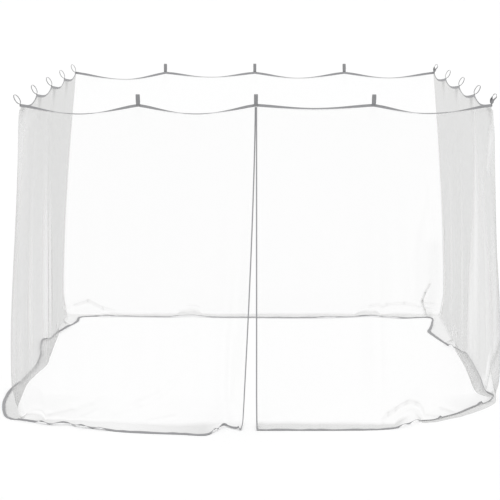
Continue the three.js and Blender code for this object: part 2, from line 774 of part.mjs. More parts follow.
const net = new THREE.Group();
for (const wall of walls) {
  const grid = panelGrid(wall);
  net.add(named(`net_${wall.name}`, netGeometry(wall, grid), netMaterial));
  net.add(named(`top_tape_${wall.name}`, topTapeGeometry(grid), tapeMaterial));
  net.add(named(`hem_tape_${wall.name}`, bottomTapeGeometry(grid), tapeMaterial));
  if (wall.from === 0 || wall.to === roundTrip) {
    net.add(named(`door_tape_${wall.name}`, slitTapeGeometry(wall, grid), tapeMaterial));
  }
}
loops.forEach((row, index) => net.add(makeLoop(row, index)));

const bearing = railInLoop(loops[0].lean);
net.position.set(0, half + bearing.x, -hangHeight - bearing.y);

const group = new THREE.Group();
group.add(net);

export default group;
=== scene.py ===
import math

import bmesh
import bpy
import numpy as np
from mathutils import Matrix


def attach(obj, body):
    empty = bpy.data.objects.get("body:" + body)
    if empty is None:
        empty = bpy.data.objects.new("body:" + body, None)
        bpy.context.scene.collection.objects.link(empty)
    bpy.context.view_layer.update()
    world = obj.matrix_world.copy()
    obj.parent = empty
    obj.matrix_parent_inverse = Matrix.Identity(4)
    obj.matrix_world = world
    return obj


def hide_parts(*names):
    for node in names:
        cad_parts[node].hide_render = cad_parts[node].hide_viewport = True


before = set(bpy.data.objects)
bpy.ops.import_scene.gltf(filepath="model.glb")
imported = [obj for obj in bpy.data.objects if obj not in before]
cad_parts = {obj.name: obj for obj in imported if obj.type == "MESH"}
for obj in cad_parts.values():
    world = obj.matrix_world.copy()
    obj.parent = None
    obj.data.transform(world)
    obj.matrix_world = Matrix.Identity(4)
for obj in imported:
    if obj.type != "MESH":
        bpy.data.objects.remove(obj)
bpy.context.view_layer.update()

# The netting
# Five panels of fine knitted polyester net, hung from a square rail by strap loops. The walls swing
# out a little on their way down, and the last hand's breadth of cloth lies on the floor.

# Sizes are in millimetres about the middle of the plan, with the floor at z = 0. Stations run along
# the top edge from the doorway slit, round to the right.
WALL = 3000
HALF = WALL / 2
ROUND = 4 * WALL
SPAN = WALL / 4  # from one loop to the next
HANG = 2120  # from the top edge at a loop down to the floor
SPARE = 106  # cloth past the fold at the floor
CLOTH = HANG + SPARE
TAPE = 17
SHOULDER = 12  # netting that bends over with the top tape
BENT = TAPE + SHOULDER  # cloth from the top edge down to where the wall hangs plain
LYING = 78  # what is left of the spare cloth on the floor once it has gathered up
REST = 2.7  # middle of the cloth above the floor
BELLY_SHARE = 1 - 210 / HANG
KNEE = 36  # half of the rounded bend at the floor
LAYER_SHIFT = 4.9  # the left front panel ends this far behind the right one
SHIFT_START, SHIFT_END = 140, 30  # before the last station
CORNER_TURN = 220  # from a corner to where folds stand straight out of the wall
LEVEL_SHARE = 0.065  # of a span, beside each loop, where the tape stays upright
SAG_POWER, FLOP_POWER, FLARE_POWER, DRAWN_POWER, FOOT_POWER = 1.7, 0.8, 1.5, 1.4, 1.2
BEARING_OUT, BEARING_UP = 31.348, 62.251  # the rail's place inside the front middle loop

# name, first and last station, start of its top edge, and the way along it
WALLS = {
    "front_right": (0, 1500, (0, -HALF), (1, 0)),
    "right": (1500, 4500, (HALF, -HALF), (0, 1)),
    "back": (4500, 7500, (HALF, HALF), (-1, 0)),
    "left": (7500, 10500, (-HALF, HALF), (0, -1)),
    "front_left": (10500, 12000, (-HALF, -HALF), (1, 0)),
}

# One row for each span between loops: sag, how far the tape flops in degrees, outward on the front
# and the back and inward on the sides, and where along the span it is lowest
SPANS = np.array([
    (14, 62, 0.5), (37, 98, 0.44), (30, -30, 0.52), (33, -36, 0.45),
    (28, -32, 0.5), (32, -28, 0.55), (31, 92, 0.5), (32, 94, 0.52),
    (24, 96, 0.48), (43, 94, 0.42), (31, -28, 0.5), (34, -34, 0.47),
    (29, -32, 0.54), (33, -30, 0.5), (40, 98, 0.5), (40, 96, 0.49),
])

# Plan of the walls at belly height: station, x, y
BELLY = [
    (0, 2, -1530), (800, 801, -1546), (1250, 1290, -1528), (1500, 1545, -1458),
    (1640, 1604, -1346), (1760, 1638, -1232), (1900, 1634, -1095), (2080, 1612, -915),
    (2250, 1588, -750), (2500, 1566, -500), (3090, 1576, 90),
    (3600, 1594, 610), (4430, 1631, 1490), (4500, 1630, 1560), (4570, 1556, 1572),
    (4900, 1150, 1588), (6000, 0, 1580), (7120, -1160, 1590), (7430, -1580, 1576),
    (7500, -1652, 1564), (7570, -1650, 1490), (8570, -1596, 430), (8900, -1582, 100),
    (9110, -1578, -100), (9330, -1598, -330), (9600, -1618, -600), (10000, -1636, -1000),
    (10250, -1640, -1250), (10390, -1616, -1380), (10500, -1532, -1470), (10800, -1218, -1520),
    (11400, -612, -1548), (11760, -284, -1552), (11870, -184, -1530), (12000, -72, -1524),
]

# Plan of the fold where each wall meets the floor: station, x, y
FOOT = [
    (0, 4, -1532), (400, 400, -1538), (800, 801, -1548), (930, 922, -1530),
    (1050, 1040, -1512), (1180, 1168, -1516), (1350, 1322, -1430), (1500, 1430, -1345),
    (1680, 1562, -1215), (1840, 1654, -1100), (1960, 1678, -990), (2060, 1626, -925),
    (2160, 1562, -836), (2330, 1554, -672), (2500, 1568, -502), (2800, 1577, -195),
    (3100, 1574, 95), (3330, 1572, 335), (3470, 1590, 475), (3640, 1600, 640),
    (4000, 1604, 1010), (4260, 1600, 1290), (4430, 1602, 1500), (4500, 1598, 1572),
    (4570, 1536, 1588), (4800, 1235, 1600), (6000, 0, 1598), (7200, -1240, 1604),
    (7430, -1560, 1594), (7500, -1628, 1580), (7570, -1628, 1504), (7800, -1620, 1235),
    (8060, -1610, 955), (8300, -1600, 700), (8570, -1593, 430), (8900, -1580, 105),
    (9100, -1572, -95), (9330, -1612, -335), (9600, -1645, -605), (9950, -1634, -950),
    (10300, -1602, -1285), (10500, -1512, -1418), (10680, -1340, -1432), (10850, -1165, -1464),
    (11100, -908, -1516), (11320, -690, -1560), (11540, -482, -1586), (11690, -332, -1574),
    (11760, -268, -1540), (11840, -200, -1500), (11920, -140, -1528), (12000, -84, -1530),
]

# Plan of the bottom edge as it lies on the floor: station, x, y
HEM = [
    (0, 6, -1656), (620, 616, -1652), (800, 794, -1640), (900, 894, -1620),
    (980, 966, -1580), (1050, 1042, -1510), (1110, 1098, -1440), (1200, 1180, -1418),
    (1350, 1280, -1340), (1500, 1368, -1268), (1680, 1452, -1166), (1840, 1545, -1064),
    (1960, 1622, -1010), (2070, 1694, -900), (2160, 1668, -800), (2330, 1674, -640),
    (2500, 1685, -430), (2800, 1688, -160), (3060, 1690, 80), (3270, 1676, 262),
    (3360, 1632, 352), (3470, 1562, 480), (3640, 1520, 634), (3860, 1464, 860),
    (4010, 1438, 1008), (4110, 1466, 1120), (4260, 1500, 1275), (4500, 1512, 1488),
    (4740, 1280, 1472), (4890, 1125, 1512), (5010, 998, 1538), (5240, 762, 1508),
    (5550, 450, 1482), (6000, 0, 1490), (6300, -300, 1498), (6550, -548, 1534),
    (6780, -778, 1514), (7060, -1058, 1528), (7300, -1292, 1540), (7500, -1496, 1514),
    (7660, -1512, 1350), (7860, -1578, 1138), (8030, -1628, 976), (8190, -1680, 806),
    (8320, -1738, 684), (8600, -1722, 412), (8900, -1699, 102), (9110, -1700, -108),
    (9330, -1719, -325), (9680, -1752, -680), (9860, -1766, -852), (10060, -1756, -1056),
    (10320, -1700, -1322), (10420, -1645, -1410), (10500, -1570, -1438), (10590, -1470, -1484),
    (10690, -1356, -1536), (10780, -1244, -1528), (10850, -1178, -1578), (10960, -1066, -1620),
    (11160, -852, -1692), (11530, -474, -1742), (11690, -318, -1756), (11770, -256, -1660),
    (11840, -212, -1588), (11920, -150, -1646), (12000, -96, -1656),
]

# How far the hem curls up from the floor: station, degrees
CURLS = [
    (0, 0), (950, 0), (990, 52), (1025, 8), (1065, 70), (1105, 0), (1260, 0), (1285, 50),
    (1310, 0), (1820, 0), (1850, 75), (1885, 0), (1990, 0), (2050, 100), (2250, 116),
    (3260, 116), (3340, 156), (3450, 156), (3520, 0), (4740, 0), (4790, 25), (5000, 22),
    (5080, 11), (5280, 11), (5330, 30), (5420, 30), (5470, 11), (6420, 11), (6470, 32),
    (6680, 32), (6730, 11), (7200, 11), (7290, 38), (7370, 0), (8050, 0), (8090, 156), (8270, 156),
    (8340, 60), (8640, 80), (8720, 125), (9540, 130), (9700, 60), (9880, 0),
    (10590, 0), (10630, 60), (10680, 5), (10750, 62), (10820, 8), (10880, 58), (10950, 5),
    (11000, 40), (11060, 0), (11720, 0), (11755, 60), (11785, 10), (11820, 64), (11870, 160),
    (11960, 160), (11985, 11), (12000, 11),
]
CURL_LONG = 22  # cloth from the bottom edge up that curls
RUMPLE = 2.4  # height of the shallow bumps of the cloth on the floor

# Soft upright folds: station at the top edge and at the floor, half width, how far it stands
# out, and how low it is fullest. The first fifteen are the main ones, much as the solids have
# them, and the rest are finer.
FOLDS = [
    (740, 802, 60, 16, 2), (1500, 1780, 170, 28, 2), (2250, 2580, 105, -23, 2),
    (3000, 3000, 60, -9, 2), (3750, 3760, 60, -9, 2), (4560, 4620, 80, -46, 5),
    (4950, 4800, 90, 16, 3), (5250, 5010, 80, 14, 2), (6750, 6800, 90, 10, 2),
    (7440, 7410, 70, -20, 4), (9000, 8790, 75, -19, 2), (9760, 9640, 90, 8, 2),
    (10500, 10330, 110, 14, 2), (11250, 11330, 90, 12, 2), (11980, 11880, 60, 20, 2),
    (660, 690, 26, -3, 2), (770, 830, 16, 3, 2), (1120, 1180, 70, 5, 2),
    (1410, 1330, 46, -7, 3), (1760, 1900, 80, -6, 2), (2250, 2400, 44, -5, 0.7),
    (3330, 3400, 90, 5, 2), (4100, 4150, 90, 5, 3), (4420, 4440, 30, 5, 4),
    (4650, 4520, 18, -9, 3), (4700, 4700, 26, 9, 4), (6000, 6060, 60, 5, 2),
    (7180, 7150, 50, 7, 3), (7640, 7700, 60, 5, 3), (8240, 8200, 90, 6, 2),
    (9160, 9060, 75, -18, 2), (9980, 10020, 90, 4, 3), (10250, 10170, 80, -6, 2),
    (1500, 1500, 130, 26, 0.35), (10500, 10500, 120, 22, 0.35),
    (10640, 10700, 60, 6, 3), (10980, 11050, 50, 5, 3), (11560, 11620, 40, 4, 2),
    (11890, 11874, 22, 4, 3),
]

# How smoothly the cloth is drawn between its folds: station, 0 slack to 1 smooth
PLAINNESS = [
    (0, 0), (1400, 0), (1600, 1), (4400, 1), (4600, 0), (7400, 0), (7600, 1), (10400, 1), (10600, 0),
]

# Slow waves of the cloth between its folds: length, phase and height
WAVES = [(1130, 0.4, 3.0), (613, 2.1, 2.4), (337, 4.4, 1.5), (181, 1.3, 0.7)]
LONG_WAVE = 600  # waves longer than this keep half their height on the smooth walls
WAVE_POWER, WAVE_LEAN = 1.6, 1.8  # how the waves grow and shift on the way down

# Creases at and above the floor: station and cloth from the top edge at both ends, half width,
# and how far each stands out
CREASES = [
    (10490, 2112, 10650, 2067, 22, 4), (10650, 2067, 10810, 2011, 26, 5.5),
    (10810, 2011, 10930, 1956, 27, 5), (10930, 1956, 11030, 1880, 25, 3),
    (10860, 2090, 10960, 2030, 14, -5), (11085, 2033, 11250, 1965, 25, 5),
    (11250, 1965, 11370, 1908, 27, 5), (11370, 1908, 11500, 1808, 25, 3),
    (11870, 1500, 11880, 1940, 26, 7), (11300, 2085, 11480, 2050, 12, 4),
    (822, 2110, 875, 2042, 14, -8), (875, 2042, 925, 2010, 14, -8),
    (925, 2010, 990, 2022, 14, -8), (990, 2022, 1060, 2050, 14, -8),
    (1060, 2050, 1220, 2078, 14, -7), (1200, 1990, 1330, 2050, 14, 6),
    (4578, 2045, 4760, 2014, 12, -8), (4760, 2014, 4892, 2024, 12, -8),
    (4892, 2024, 5020, 2086, 12, -7), (5020, 2086, 5230, 2100, 12, -5),
    (4609, 980, 4741, 1690, 30, 6), (4455, 1440, 4448, 2000, 12, -9),
    (4590, 1835, 4630, 1915, 11, 20), (4630, 1915, 4644, 1991, 11, 24),
    (4644, 1991, 4618, 2080, 11, 24), (4433, 2002, 4422, 2118, 13, 11),
    (4416, 924, 4397, 1358, 30, 6), (4397, 1358, 4341, 1887, 30, 7),
    (7480, 2040, 7580, 2030, 12, -6), (7580, 2030, 7640, 2008, 12, -5),
    (7260, 2060, 7340, 1990, 11, 12), (7340, 1990, 7430, 2030, 11, 12),
    (7180, 2090, 7260, 2060, 11, 9), (6480, 2080, 6570, 2080, 12, 5),
    (1540, 100, 1830, 420, 50, -10), (1790, 1600, 2120, 2080, 30, 12),
    (2090, 2150, 2330, 2178, 12, 8), (2200, 2128, 2270, 2205, 11, 7),
    (2300, 2030, 2480, 2060, 12, 5),
    (3300, 1960, 3420, 2070, 13, 7), (3560, 2010, 3700, 2060, 12, -6),
    (8250, 2000, 8360, 2060, 13, 7), (8560, 2030, 8420, 2070, 12, -6),
    (9700, 2010, 9860, 2050, 13, 7), (10080, 1960, 10260, 2050, 14, 8),
]

# Edges where the cloth is folded double: station and cloth from the top edge at both ends, half
# width, and how much more it covers
DOUBLED = [
    (4590, 1835, 4630, 1915, 7, 0.3), (4630, 1915, 4644, 1991, 7, 0.42),
    (4644, 1991, 4618, 2070, 7, 0.44), (4618, 2070, 4590, 2150, 8, 0.42),
    (4560, 1500, 4575, 2060, 55, 0.07), (4580, 2110, 4540, 2190, 22, 0.24),
    (4640, 1996, 4560, 2010, 14, 0.1),
    (4578, 2045, 4760, 2014, 6, 0.07), (4760, 2014, 4892, 2024, 6, 0.07),
    (4892, 2024, 5020, 2086, 6, 0.08), (1790, 1600, 2120, 2080, 24, 0.2),
    (2090, 2150, 2330, 2178, 8, 0.16), (2200, 2128, 2270, 2205, 8, 0.14),
    (7260, 2060, 7340, 1990, 8, 0.1), (7340, 1990, 7430, 2030, 8, 0.1),
    (10490, 2122, 10650, 2077, 8, 0.06), (10650, 2077, 10810, 2020, 8, 0.06),
    (1200, 2000, 1330, 2060, 9, 0.05), (850, 2075, 875, 2042, 9, 0.08),
    (875, 2042, 925, 2010, 9, 0.09), (925, 2010, 990, 2022, 9, 0.09),
    (990, 2022, 1060, 2050, 9, 0.08), (1060, 2050, 1220, 2078, 10, 0.07),
]

# Pleats below the loops: depth on the side walls and at the corners and elsewhere, how far down
# they fade, and the width, reach and waves of the fan that they open into
DEEP_PLEAT, SHALLOW_PLEAT = 3.2, 1.6
PLEAT_FADE = 105
PLEAT_FULL = BENT + 26  # cloth from the top edge at which they stand out fully
FAN_START, FAN_WIDE, FAN_WAVES = 46, 0.95, 8.5

# Gathered netting below the loops: how far beside a side wall's loop it is closest, half width
# there and elsewhere, and how far down it fades
BESIDE_LOOP, GATHER_WIDE, GATHER_NARROW, GATHER_FADE = 110, 80, 26, 55
EVERY_LOOP = range(17)  # the front middle one stands at both ends of the stations
CALM_TOP, CALM_FLOOR = 110, 60  # width beside the doorway in which folds and waves die out


def smooth(value, low, high):
    share = np.clip((value - low) / (high - low), 0, 1)
    return share * share * (3 - 2 * share)


def curve_through(table, at):
    """Points at the stations on a smooth curve through the table's rows."""
    rows = np.array(table, float)
    last = len(rows) - 1
    upper = np.clip(np.searchsorted(rows[:, 0], at), 1, last)
    here, there = rows[upper - 1], rows[upper]
    before, after = rows[np.maximum(upper - 2, 0)], rows[np.minimum(upper + 1, last)]
    step = there[:, :1] - here[:, :1]
    slope_here = (there - before) / (there[:, :1] - before[:, :1]) * step
    slope_there = (after - here) / (after[:, :1] - here[:, :1]) * step
    t = np.clip((at[:, None] - here[:, :1]) / step, 0, 1)
    blend = here + (there - here) * t * t * (3 - 2 * t)
    curve = blend + slope_here * t * (1 - t) ** 2 - slope_there * t * t * (1 - t)
    return np.column_stack([curve[:, 1:], np.zeros(len(at))])


def top_edge(at):
    """Sag in millimetres and flop in radians along the top edge."""
    index = np.minimum(at // SPAN, len(SPANS) - 1).astype(int)
    sag, flop, low = SPANS[index].T
    share = at / SPAN - index
    to_low = np.where(share < low, share / low / 2, 0.5 + (share - low) / (1 - low) / 2)
    opened = np.clip((share - LEVEL_SHARE) / (1 - 2 * LEVEL_SHARE), 0, 1)
    return (
        sag * (1 - np.abs(2 * to_low - 1) ** SAG_POWER),
        np.radians(flop) * np.sin(np.pi * opened) ** FLOP_POWER,
    )


def gathers(at, length):
    """Short pleats that fan out below each loop, where the strap takes the weight."""
    below = np.maximum(length - TAPE, 0)
    total = 0
    for loop in EVERY_LOOP:
        on_side = 2 < loop % 16 < 6 or 10 < loop % 16 < 14
        depth = DEEP_PLEAT if on_side or loop % 4 == 2 else SHALLOW_PLEAT
        fan = (at - loop * SPAN) / (below + FAN_START)
        fades = np.exp(-below / PLEAT_FADE) * np.exp(-((fan / FAN_WIDE) ** 2))
        total = total + depth * fades * np.cos(FAN_WAVES * fan + 0.7 * loop)
    return total * smooth(length, TAPE, PLEAT_FULL)


def row_values(table, at):
    """The columns of a table at each station, in a straight line from row to row."""
    rows = np.array(table, float)
    return [np.interp(at, rows[:, 0], column) for column in rows[:, 1:].T]


def gathered(at, length):
    """How closely the netting is gathered, from 0 to 1: most beside the side walls' loops."""
    total = 0
    for loop in EVERY_LOOP:
        on_right, on_left = 2 <= loop <= 6, 10 <= loop <= 14
        beside = BESIDE_LOOP if on_right else (-BESIDE_LOOP if on_left else 0)
        width = GATHER_WIDE if on_right or on_left else GATHER_NARROW
        away = (at - loop * SPAN - beside) / width
        total = total + np.exp(-away * away)
    return total * np.exp(-np.maximum(length - TAPE, 0) / GATHER_FADE)


def along_lines(rows, at, length):
    """The rows' last column along each row's line, fading over its half width to both sides."""
    total = 0
    for start, high, end, lower, width, value in rows:
        run, fall = end - start, lower - high
        reach = run * run + fall * fall
        part = np.clip(((at - start) * run + (length - high) * fall) / reach, 0, 1)
        away = np.hypot(at - start - run * part, length - high - fall * part) / width
        total = total + value * np.exp(-away * away)
    return total


def relief(at, length, share):
    """How far the cloth stands out of its plain hang: folds, creases, pleats and slow waves."""
    total = gathers(at, length)
    for top, floor, width, out, low in FOLDS:
        away = (at - top - (floor - top) * share) / width
        total = total + out * np.exp(-away * away) * np.sin(np.pi * share ** low)
    total = total + along_lines(CREASES, at, length)
    plain = row_values(PLAINNESS, at)[0]
    for wave, phase, high in WAVES:
        wavy = high * share ** WAVE_POWER * np.sin(2 * np.pi * at / wave + phase + WAVE_LEAN * share)
        total = total + wavy * np.where(wave < LONG_WAVE, 1 - plain, 1 - plain / 2)
    free_edge = np.minimum(at, ROUND - at)
    kept = smooth(free_edge, 0, CALM_TOP) * (1 - share)
    kept = kept + smooth(free_edge, -CALM_FLOOR, CALM_FLOOR) * share
    return total * kept


def cloth(wall, at, length):
    """Points of a panel's middle: lengths of cloth down from its edge, by stations along it."""
    first, last, corner, (along_x, along_y) = WALLS[wall]
    at, length = np.asarray(at, float), np.asarray(length, float)
    way, out = np.array([along_x, along_y, 0]), np.array([along_y, -along_x, 0])
    up = np.array([0, 0, 1])
    top = np.array([*corner, 0]) + way * (at - first)[:, None]
    sag, flop = top_edge(at)
    hang = HANG - BENT - sag
    tuck, drawn = 0 * at, 0 * at
    if wall == "front_left":
        tuck = LAYER_SHIFT * smooth(at, ROUND - SHIFT_START, ROUND - SHIFT_END)
        drawn = smooth(at, ROUND - SPAN, ROUND)
    belly, foot, hem = (curve_through(table, at) for table in (BELLY, FOOT, HEM))
    reach = np.linalg.norm(foot - hem, axis=1)
    foot_height = REST + np.sqrt(np.maximum(LYING ** 2 - reach ** 2, 0))
    to_start = CORNER_TURN + 0 * at if first == 0 else at - first
    to_end = CORNER_TURN + 0 * at if last == ROUND else last - at
    nearer_end = np.where(to_start < to_end, -1, 1)
    turning = (1 - smooth(np.minimum(to_start, to_end), 0, CORNER_TURN)) * nearer_end
    fold_way = out + way * turning[:, None]
    fold_way = fold_way / np.linalg.norm(fold_way, axis=1)[:, None]

    def on_wall(down):
        share = ((down - BENT) / (HANG - BENT))[:, None] + 0 * at
        part = np.clip(share / BELLY_SHARE, 0, 1)
        flare = 1 - (1 - part) ** FLARE_POWER
        aside = flare + (part ** DRAWN_POWER - flare) * drawn
        swing = belly - top
        swing_out = swing @ out
        points = top + out * (swing_out * flare)[..., None]
        points = points + (swing - out * swing_out[:, None]) * aside[..., None]
        lower = np.clip((share - BELLY_SHARE) / (1 - BELLY_SHARE), 0, 1) ** FOOT_POWER
        points = points + (foot - belly) * lower[..., None]
        points = points + fold_way * relief(at, down[:, None], np.clip(share, 0, 1))[..., None]
        points = points - out * (tuck * (1 - share))[..., None]
        points[..., 2] = hang + (foot_height - hang) * share
        return points

    def on_floor(down):
        share = ((down - HANG) / SPARE)[:, None] + 0 * at
        points = foot + (hem - foot) * share[..., None]
        curl = np.radians(row_values(CURLS, at)[0])
        curled = np.maximum(down - CLOTH + CURL_LONG, 0)[:, None]
        points = points - (hem - foot) / SPARE * (curled * (1 - np.cos(curl)))[..., None]
        # bumps of uneven lengths, which leave some of the cloth flat
        rumple = 2.2 + np.sin(at / 23 + 2 * np.sin(at / 61)) + 0.9 * np.sin(at / 41 + 5 * share)
        points[..., 2] = foot_height + (REST - foot_height) * share
        points[..., 2] += np.maximum(rumple, 0) * RUMPLE * np.sin(np.pi * np.clip(share, 0, 1))
        points[..., 2] += curled * np.sin(curl)
        return points

    shoulder = top - out * tuck[:, None] + up * hang[:, None]
    bend = np.minimum(BENT - length, SHOULDER)[:, None, None]
    over = np.maximum(TAPE - length, 0)[:, None, None]
    half_lean = out * np.sin(flop / 2)[:, None] + up * np.cos(flop / 2)[:, None]
    lean = out * np.sin(flop)[:, None] + up * np.cos(flop)[:, None]
    edge = shoulder + half_lean * bend + lean * over

    turn = np.clip((length - HANG + KNEE) / (2 * KNEE), 0, 1)[:, None, None]
    above = on_wall(np.array([HANG - KNEE], float))
    bottom = on_floor(np.array([HANG + KNEE], float))
    corner_point = foot + up * foot_height[:, None]
    rounded = (above * (1 - turn) + corner_point * turn) * (1 - turn)
    rounded = rounded + (corner_point * (1 - turn) + bottom * turn) * turn

    where = length[:, None, None]
    walls = on_wall(np.maximum(length, BENT))
    points = np.where(where < BENT, edge, walls)
    points = np.where(where > HANG - KNEE, rounded, points)
    return np.where(where > HANG + KNEE, on_floor(np.maximum(length, HANG)), points)


def in_frame(points):
    """Metres in the frame, whose origin is where the rail bears in the front middle loop."""
    return (points + np.array([0, HALF + BEARING_OUT, -HANG - BEARING_UP])) / 1000


def faces_out(points):
    """The way out of a grid of points at each of them."""
    down = np.gradient(points, axis=0)
    run = np.gradient(points, axis=1)
    normal = np.cross(down, run)
    return normal / np.maximum(np.linalg.norm(normal, axis=2), 1e-9)[..., None]


def add_mesh(name, points, faces, uv, material):
    """A smooth-shaded piece with one UV, in millimetres, for each point."""
    mesh = bpy.data.meshes.new(name)
    mesh.from_pydata(in_frame(np.asarray(points)).tolist(), [], np.asarray(faces).tolist())
    corners = np.empty(len(mesh.loops), int)
    mesh.loops.foreach_get("vertex_index", corners)
    layer = mesh.uv_layers.new(name="cut")
    layer.data.foreach_set("uv", np.asarray(uv, float)[corners].ravel())
    mesh.polygons.foreach_set("use_smooth", [True] * len(mesh.polygons))
    mesh.materials.append(material)
    mesh.update()
    piece = bpy.data.objects.new(name, mesh)
    bpy.context.scene.collection.objects.link(piece)
    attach(piece, "root")
    return piece


def grid_faces(rows, columns, closed=False):
    """Quads between the rows and columns of a grid of points."""
    wide = columns if closed else columns - 1
    row, column = np.meshgrid(np.arange(rows - 1), np.arange(wide), indexing="ij")
    beside = (column + 1) % columns
    a, b = row * columns + column, (row + 1) * columns + column
    c, d = (row + 1) * columns + beside, row * columns + beside
    return np.stack([a, b, c, d], -1).reshape(-1, 4)


def hex_to_linear(code):
    """An sRGB hex colour as the linear values that a shader takes."""
    parts = [int(code[place:place + 2], 16) / 255 for place in (1, 3, 5)]
    linear = [part / 12.92 if part <= 0.04045 else ((part + 0.055) / 1.055) ** 2.4 for part in parts]
    return linear + [1]


def add_node(tree, kind, settings=None, **links):
    """A node with its settings and the links or values of its inputs."""
    node = tree.nodes.new(kind)
    for key, value in (settings or {}).items():
        setattr(node, key, value)
    for key, value in links.items():
        socket = node.inputs[int(key[1:])] if key[1:].isdigit() else node.inputs[key.replace("_", " ")]
        if isinstance(value, bpy.types.NodeSocket):
            tree.links.new(value, socket)
        else:
            socket.default_value = value
    return node


def new_material(name):
    """An empty material and its node tree."""
    material = bpy.data.materials.new(name)
    material.use_nodes = True
    material.node_tree.nodes.clear()
    return material, material.node_tree


# Sheer knitted polyester, far too fine to show its holes: it reads as a white haze where the cloth
# faces you and as a grey veil where it runs away from you, partly because its yarns close up and partly
# as painted shade. The share of light that the yarns stop is kept on the mesh, and grows as the cloth
# turns out of the plane of the front and back walls, lies on the floor, or is gathered below a loop;
# a fold's back flank is painted lighter.
# the sideways cover holds painted shade as well as the yarns seen along the cloth
FACE_COVER, FOLD_COVER, SIDE_COVER_AND_SHADE = 0.029, 0.13, 0.47  # facing front or back, on a fold, sideways
FOLD_POWER = 0.6
# painted light and shade on folds: the back flank lighter, the front flank a little darker
FLANK_PAINTED_LIGHT, FLANK_LIGHTEST, FLANK_DARKEST = 2.0, 0.35, 1.05  # how much lighter a fold's back flank is
SIDE_START, SIDE_FULL = 0.3, 0.95  # turn at which cloth starts to count as sideways, and counts fully
GATHERED_MORE = 1.1
MOST_COVER = 0.74
WALE_MM, COURSE_MM = 13, 16  # rows of knitting, really 1 mm apart, drawn coarser so that they show
STREAK_MM = 400  # width of the faint streaks, where the yarns run a little closer

# How strongly each stretch shows its sideways cover and painted shade: station, share on the side walls,
# cover on the floor
SIDEWAYS_SHARE_AND_FLOOR_COVER = [
    (0, 1, 0.43), (1300, 1, 0.43), (1500, 0.9, 0.36), (1700, 1, 0.27), (2100, 1, 0.25),
    (4400, 1, 0.2), (4700, 1, 0.35), (7300, 1, 0.35), (7600, 1.1, 0.2), (9500, 1.15, 0.22),
    (9900, 1.05, 0.42), (10200, 0.84, 0.47), (10500, 0.84, 0.47), (10650, 1, 0.3),
    (10900, 1, 0.2), (11150, 1, 0.17), (11400, 1, 0.27), (11680, 1, 0.4), (11800, 1, 0.14),
    (12000, 1, 0.12),
]


def cover_of(points, at, length):
    """The share of light that the yarns stop, at each point of a grid, with painted shade where the
    cloth turns sideways and painted light on a fold's back flank.
    """
    turns = faces_out(points)
    facing = np.abs(turns[..., 1])
    # painted light: lowers the cover on a fold's back flank and raises it a little on the front flank
    flank = np.clip(1 - FLANK_PAINTED_LIGHT * turns[..., 1] * (1 - facing), FLANK_LIGHTEST, FLANK_DARKEST)
    # drawn is the share of sideways cover and painted shade at each station
    drawn, lying = row_values(SIDEWAYS_SHARE_AND_FLOOR_COVER, at)
    # sideways cover: the yarns seen along the cloth, and painted shade on walls turned from the front
    # and back
    sideways = smooth(1 - facing, SIDE_START, SIDE_FULL) * (SIDE_COVER_AND_SHADE - FOLD_COVER - FACE_COVER)
    cover = FACE_COVER + (FOLD_COVER * (1 - facing) ** FOLD_POWER + sideways * drawn) * flank
    cover = cover + (lying - cover) * turns[..., 2] ** 2
    cover = cover * (1 + GATHERED_MORE * gathered(at, length[:, None]))
    cover = cover + along_lines(DOUBLED, at, length[:, None])
    return np.minimum(cover, MOST_COVER)


net_material, tree = new_material("sheer knitted polyester net")
uv = add_node(tree, "ShaderNodeUVMap", {"uv_map": "cut"}).outputs[0]
cover = add_node(tree, "ShaderNodeAttribute", {"attribute_name": "cover"}).outputs["Fac"]
stretched = add_node(
    tree, "ShaderNodeMapping", Vector=uv, Scale=(1 / STREAK_MM, 1 / (6 * STREAK_MM), 1)
).outputs[0]
streaks = add_node(tree, "ShaderNodeTexNoise", Vector=stretched, Scale=1.0, Detail=1.0).outputs["Fac"]
streaks = add_node(tree, "ShaderNodeMapRange", _0=streaks, _1=0.3, _2=0.7, _3=0.975, _4=1.025).outputs[0]
normal = add_node(tree, "ShaderNodeNewGeometry").outputs["Normal"]
facing = add_node(tree, "ShaderNodeSeparateXYZ", _0=normal).outputs["Y"]
facing = add_node(tree, "ShaderNodeMath", {"operation": "ABSOLUTE"}, _0=facing).outputs[0]
place = add_node(tree, "ShaderNodeSeparateXYZ", _0=uv)
wales = add_node(
    tree, "ShaderNodeMath", {"operation": "MULTIPLY"}, _0=place.outputs["X"], _1=2 * math.pi / WALE_MM
)
wales = add_node(tree, "ShaderNodeMath", {"operation": "SINE"}, _0=wales.outputs[0]).outputs[0]
wales = add_node(tree, "ShaderNodeMath", {"operation": "MULTIPLY"}, _0=wales, _1=facing).outputs[0]
courses = add_node(
    tree, "ShaderNodeMath", {"operation": "MULTIPLY"}, _0=place.outputs["Y"], _1=2 * math.pi / COURSE_MM
)
courses = add_node(tree, "ShaderNodeMath", {"operation": "SINE"}, _0=courses.outputs[0]).outputs[0]
knit = add_node(tree, "ShaderNodeMath", {"operation": "ADD"}, _0=wales, _1=courses).outputs[0]
knit = add_node(tree, "ShaderNodeMapRange", _0=knit, _1=-2.0, _2=2.0, _3=0.97, _4=1.03).outputs[0]
weave = add_node(tree, "ShaderNodeMath", {"operation": "MULTIPLY"}, _0=streaks, _1=knit).outputs[0]
cover = add_node(tree, "ShaderNodeMath", {"operation": "MULTIPLY"}, _0=cover, _1=weave).outputs[0]
yarn = hex_to_linear("#B4B4B3")
solid = add_node(
    tree, "ShaderNodeBsdfPrincipled", Base_Color=yarn, Roughness=0.85, Sheen_Weight=0.15
).outputs[0]
glow = add_node(tree, "ShaderNodeBsdfTranslucent", Color=yarn).outputs[0]
lit = add_node(tree, "ShaderNodeMixShader", _0=0.45, _1=solid, _2=glow).outputs[0]
clear = add_node(tree, "ShaderNodeBsdfTransparent").outputs[0]
